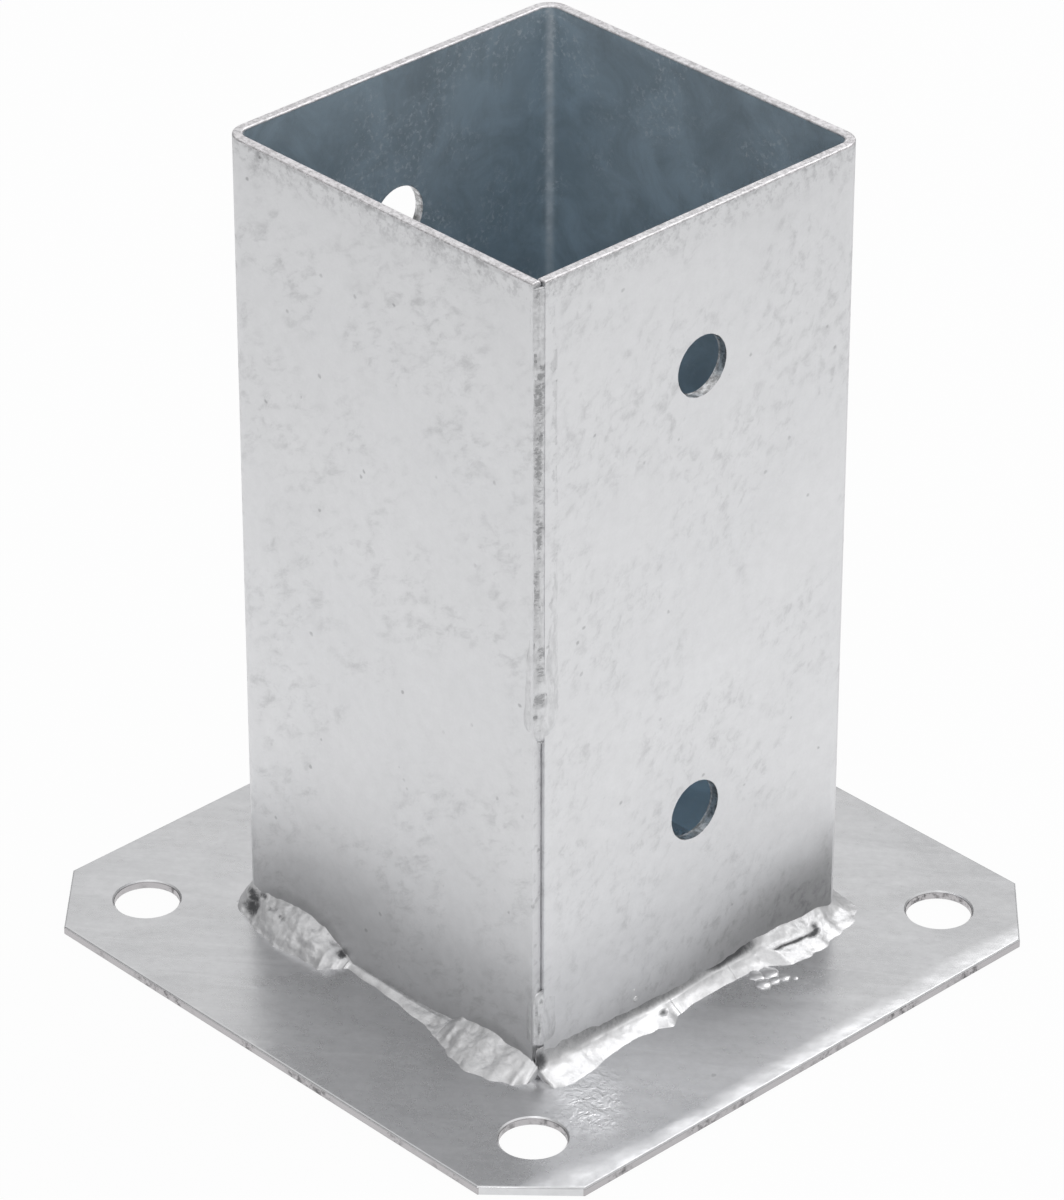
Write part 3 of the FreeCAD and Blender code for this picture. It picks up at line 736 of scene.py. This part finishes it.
UPPER_SEAM = [
    (67.2, 2.4, 4.4, 0.55), (72.0, 2.9, 4.9, 0.55), (77.0, 2.4, 5.0, 0.32), (90.0, 1.7, 4.8, 0.10),
    (110.0, 1.5, 4.6, 0.06), (130.0, 1.6, 4.6, 0.06), (150.8, 1.3, 4.0, 0.02),
]
UPPER_SEAM_SOOT = [
    (75.8, 0.55, 1.5, 0.30, 0.75), (86.0, 0.24, 1.0, 0.10, 0.9), (84.6, 0.62, 1.6, 0.22, 0.6),
    (81.0, 0.58, 2.4, 0.20, 0.45), (72.6, 0.42, 0.7, 0.08, 0.9), (96.0, 0.35, 5.0, 0.26, 0.48),
    (106.0, 0.50, 6.0, 0.16, 0.40), (120.0, 0.45, 5.0, 0.22, 0.42), (131.5, 0.52, 4.5, 0.30, 0.60),
    (138.5, 0.30, 1.3, 0.12, 0.8), (112.0, 0.45, 52.0, 0.55, 0.40), (136.0, 0.62, 1.8, 0.24, 0.60),
    (128.0, 0.12, 4.0, 0.05, 0.7), (124.0, 0.58, 0.9, 0.10, 0.9), (149.5, 0.45, 2.0, 0.35, 0.50),
]
LOWER_SEAM = [(6.8, 1.9, 4.2, 0.2), (12.0, 2.2, 4.6, 0.25), (18.3, 1.8, 4.2, 0.15)]
LOWER_SEAM_SOOT = [
    (14.0, 0.45, 2.2, 0.10, 0.8), (16.4, 0.62, 0.8, 0.10, 0.9), (11.0, 0.55, 2.4, 0.07, 0.8),
    (11.5, 0.22, 3.0, 0.06, 0.5),
]

# Each stretch of the foot's bead: its name, from where, to where, and the CAD node it replaces.
# Neighbours overlap by a tenth of a millimetre.

FOOT_BEADS = [
    ("weld_foot_front", front(37.4), front(16.5), "weld_foot_front"),
    ("zinc_run_front", front(16.6), front(-9.3), None),
    ("weld_foot_left_corner", front(-9.2), left(-12.0), "weld_foot_left_corner"),
    ("zinc_run_left", left(-12.1), left(9.1), None),
    ("weld_foot_back_corner", left(9.0), back(-9.5), "weld_foot_back_corner"),
    ("zinc_run_back", back(-9.6), back(6.1), None),
    ("weld_foot_right_corner", back(6.0), right(8.0), "weld_foot_right_corner"),
    ("zinc_run_right", right(8.1), right(-6.1), None),
    ("weld_foot_right", right(-6.0), right(-36.8), "weld_foot_right"),
]

SPATTER_ON_PLATE = [
    (43.9, 10.3, PLATE_TOP, 1.5, 0.6), (45.0, 14.4, PLATE_TOP, 1.2, 0.4),
    (42.4, 13.4, PLATE_TOP, 1.9, 0.6), (41.4, 11.4, PLATE_TOP, 1.6, 0.5),
    (44.4, 12.6, PLATE_TOP, 1.3, 0.4), (46.4, 15.8, PLATE_TOP, 0.6, 0.25),
]
SPATTER_ON_WALL = [(WALL, -13.5, 6.6, 0.6, 0.35), (WALL, -13.9, 8.6, 0.3, 0.2)]


def build_welds():
    """Every bead, run, fill and drop of zinc."""
    pieces = [foot_bead(*stretch) for stretch in FOOT_BEADS]
    pieces.append(seam_bead("weld_seam_upper", "weld_seam_upper", UPPER_SEAM[0][0], UPPER_SEAM[-1][0],
                            UPPER_SEAM, UPPER_SEAM_SOOT))
    pieces.append(seam_bead("weld_seam_lower", "weld_seam_lower", LOWER_SEAM[0][0], LOWER_SEAM[-1][0],
                            LOWER_SEAM, LOWER_SEAM_SOOT, tip=2.2, round_top=True))
    pieces.append(seam_fill("zinc_seam_fill", 17.5, 69.0))
    pieces.append(droplets("weld_spatter_plate", SPATTER_ON_PLATE))
    pieces.append(droplets("weld_spatter_wall", SPATTER_ON_WALL, faces_up=False))
    return pieces


# ---- stage, light and camera ----

# Where the photo was taken from, fitted to its straight edges: degrees round from the front and
# up, millimetres away, and the focal length as a multiple of the picture's longer side.

VIEW_AZIMUTH = 46.237
VIEW_ELEVATION = 30.887
VIEW_ROLL = -0.088
VIEW_DISTANCE = 1027.96
VIEW_TARGET_HEIGHT = 63.85
FOCAL_SHARE = 5.0461667
SIDE_SHIFT = -0.00911
SENSOR_WIDTH = 36.0

# Half the floor's side in metres, and how far below the part it lies in millimetres.
FLOOR_HALF = 4.0
FLOOR_DROP = 0.02
FLOOR_COLOUR = (0.90, 0.90, 0.905, 1.0)
# In reflections the floor dims between two distances from the middle, in metres.
FLOOR_FADE = (("From Min", 0.38), ("From Max", 0.75), ("To Min", 1.0), ("To Max", 0.34))

AMBIENT_COLOUR = (0.97, 0.98, 1.0, 1.0)
AMBIENT_STRENGTH = 0.55
# What reflections see: brightness by height above the horizon, from 0 to 1, and a factor by
# direction, from the front left at 0 to the back right at 1.
ROOM_BY_HEIGHT = ((0.0, 0.55), (0.10, 0.36), (0.26, 0.40), (0.46, 0.74), (0.62, 0.90), (0.80, 1.0))
ROOM_BY_SIDE = ((0.0, 0.62), (0.2, 0.90), (0.5, 0.95), (0.62, 0.86), (1.0, 1.0))


def look_at(thing, place, target):
    """Puts a camera or a lamp at a place and points it at a target, both in metres."""
    thing.location = place
    thing.rotation_euler = (Vector(target) - Vector(place)).to_track_quat("-Z", "Y").to_euler()


def make_camera():
    """The photo's camera."""
    data = bpy.data.cameras.new("camera")
    data.sensor_width = SENSOR_WIDTH
    data.lens = SENSOR_WIDTH * FOCAL_SHARE
    data.shift_x = SIDE_SHIFT
    data.clip_start = 0.05
    data.clip_end = 50.0
    camera = bpy.data.objects.new("camera", data)
    bpy.context.scene.collection.objects.link(camera)
    turn, lift = math.radians(VIEW_AZIMUTH), math.radians(VIEW_ELEVATION)
    away = Vector((math.sin(turn) * math.cos(lift), -math.cos(turn) * math.cos(lift), math.sin(lift)))
    target = Vector((0, 0, VIEW_TARGET_HEIGHT * MM))
    look_at(camera, target + away * VIEW_DISTANCE * MM, target)
    camera.rotation_euler.rotate_axis("Z", -math.radians(VIEW_ROLL))
    bpy.context.scene.camera = camera


def larger_of(tree, first, second):
    """The larger of two sockets."""
    made = tree.nodes.new("ShaderNodeMath")
    made.operation = "MAXIMUM"
    tree.links.new(first, made.inputs[0])
    tree.links.new(second, made.inputs[1])
    return made.outputs[0]


def blended(tree, share, first, second):
    """A shader mixed from two, by how much of the second there is."""
    made = tree.nodes.new("ShaderNodeMixShader")
    for index, socket in enumerate((share, first, second)):
        tree.links.new(socket, made.inputs[index])
    return made.outputs[0]


def grey_levels(tree, value, levels):
    """A colour ramp of greys over a value. Levels are (place, brightness)."""
    made = tree.nodes.new("ShaderNodeValToRGB")
    stops = made.color_ramp.elements
    for spot, level in levels:
        stop = stops.new(spot)
        stop.color = (level, level, level, 1.0)
    stops.remove(stops[0])
    stops.remove(stops[-1])
    tree.links.new(value, made.inputs[0])
    return made.outputs["Color"]


def make_floor():
    """A large pale floor, nearly white where the camera or a reflection sees it, which dims in
    reflections away from the part."""
    half = FLOOR_HALF
    mesh = bpy.data.meshes.new("floor")
    mesh.from_pydata([(-half, -half, 0), (half, -half, 0), (half, half, 0), (-half, half, 0)], [],
                     [(0, 1, 2, 3)])
    floor = bpy.data.objects.new("floor", mesh)
    floor.location.z = -FLOOR_DROP * MM
    bpy.context.scene.collection.objects.link(floor)
    material = bpy.data.materials.new("pale_floor")
    material.use_nodes = True
    tree = material.node_tree
    surface = tree.nodes["Principled BSDF"]
    surface.inputs["Base Color"].default_value = FLOOR_COLOUR
    surface.inputs["Roughness"].default_value = 0.9
    surface.inputs["Specular IOR Level"].default_value = 0.0

    path = tree.nodes.new("ShaderNodeLightPath")
    seen = larger_of(tree, path.outputs["Is Camera Ray"], path.outputs["Is Glossy Ray"])
    share = tree.nodes.new("ShaderNodeMath")
    share.operation = "MULTIPLY"
    share.inputs[1].default_value = 0.96
    tree.links.new(seen, share.inputs[0])
    place = tree.nodes.new("ShaderNodeTexCoord")
    away = tree.nodes.new("ShaderNodeVectorMath")
    away.operation = "LENGTH"
    tree.links.new(place.outputs["Object"], away.inputs[0])
    fade = tree.nodes.new("ShaderNodeMapRange")
    for name, given in FLOOR_FADE:
        fade.inputs[name].default_value = given
    tree.links.new(away.outputs["Value"], fade.inputs["Value"])
    white = tree.nodes.new("ShaderNodeEmission")
    level = larger_of(tree, fade.outputs["Result"], path.outputs["Is Camera Ray"])
    tree.links.new(level, white.inputs["Strength"])
    both = blended(tree, share.outputs[0], surface.outputs[0], white.outputs[0])
    tree.links.new(both, tree.nodes["Material Output"].inputs["Surface"])
    mesh.materials.append(material)


def make_world():
    """Soft ambient light. The camera sees plain white, and reflections see a pale room that is
    dim low down and on the front left."""
    world = bpy.data.worlds.new("studio")
    world.use_nodes = True
    tree = world.node_tree
    ambient = tree.nodes["Background"]
    ambient.inputs["Color"].default_value = AMBIENT_COLOUR
    ambient.inputs["Strength"].default_value = AMBIENT_STRENGTH
    place = tree.nodes.new("ShaderNodeTexCoord")
    split = tree.nodes.new("ShaderNodeSeparateXYZ")
    tree.links.new(place.outputs["Generated"], split.inputs[0])
    side = tree.nodes.new("ShaderNodeMath")
    side.operation = "ADD"
    tree.links.new(split.outputs["X"], side.inputs[0])
    tree.links.new(split.outputs["Y"], side.inputs[1])
    spread = tree.nodes.new("ShaderNodeMapRange")
    for name, given in (("From Min", -1.2), ("From Max", 1.2)):
        spread.inputs[name].default_value = given
    tree.links.new(side.outputs[0], spread.inputs["Value"])
    reflected = tree.nodes.new("ShaderNodeBackground")
    room = grey_levels(tree, split.outputs["Z"], ROOM_BY_HEIGHT)
    tree.links.new(room, reflected.inputs["Color"])
    fall = grey_levels(tree, spread.outputs["Result"], ROOM_BY_SIDE)
    tree.links.new(fall, reflected.inputs["Strength"])

    white = tree.nodes.new("ShaderNodeBackground")
    path = tree.nodes.new("ShaderNodeLightPath")
    mirrored = larger_of(tree, path.outputs["Is Glossy Ray"], path.outputs["Is Transmission Ray"])
    behind = blended(tree, mirrored, ambient.outputs[0], reflected.outputs[0])
    backdrop = blended(tree, path.outputs["Is Camera Ray"], behind, white.outputs[0])
    tree.links.new(backdrop, tree.nodes["World Output"].inputs["Surface"])
    bpy.context.scene.world = world


def make_softbox(name, place, side, power):
    """A square soft light at a place in metres, with its side in metres and its power in watts,
    facing the middle of the part."""
    data = bpy.data.lights.new(name, "AREA")
    data.shape = "SQUARE"
    data.size = side
    data.energy = power
    lamp = bpy.data.objects.new(name, data)
    bpy.context.scene.collection.objects.link(lamp)
    look_at(lamp, place, (0, 0, 0.5 * RIM * MM))


def main():
    """Dresses the sleeve and the plate, adds the welds, and sets up the studio."""
    for name, material in (("sleeve", sleeve_zinc()), ("base_plate", plate_zinc())):
        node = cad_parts[name]
        node.data.materials.clear()
        node.data.materials.append(material)
    on_foot, on_seam = weld_zinc(), seam_zinc()
    for piece in build_welds():
        piece.data.materials.append(on_seam if "seam" in piece.name else on_foot)
    make_floor()
    make_world()
    make_softbox("top_light", place=(0.04, 0.57, 0.90), side=0.55, power=1.8)
    make_softbox("front_light", place=(0.9, -1.2, 1.1), side=0.8, power=3.0)
    make_camera()
    bpy.context.scene.view_settings.view_transform = "Standard"


main()
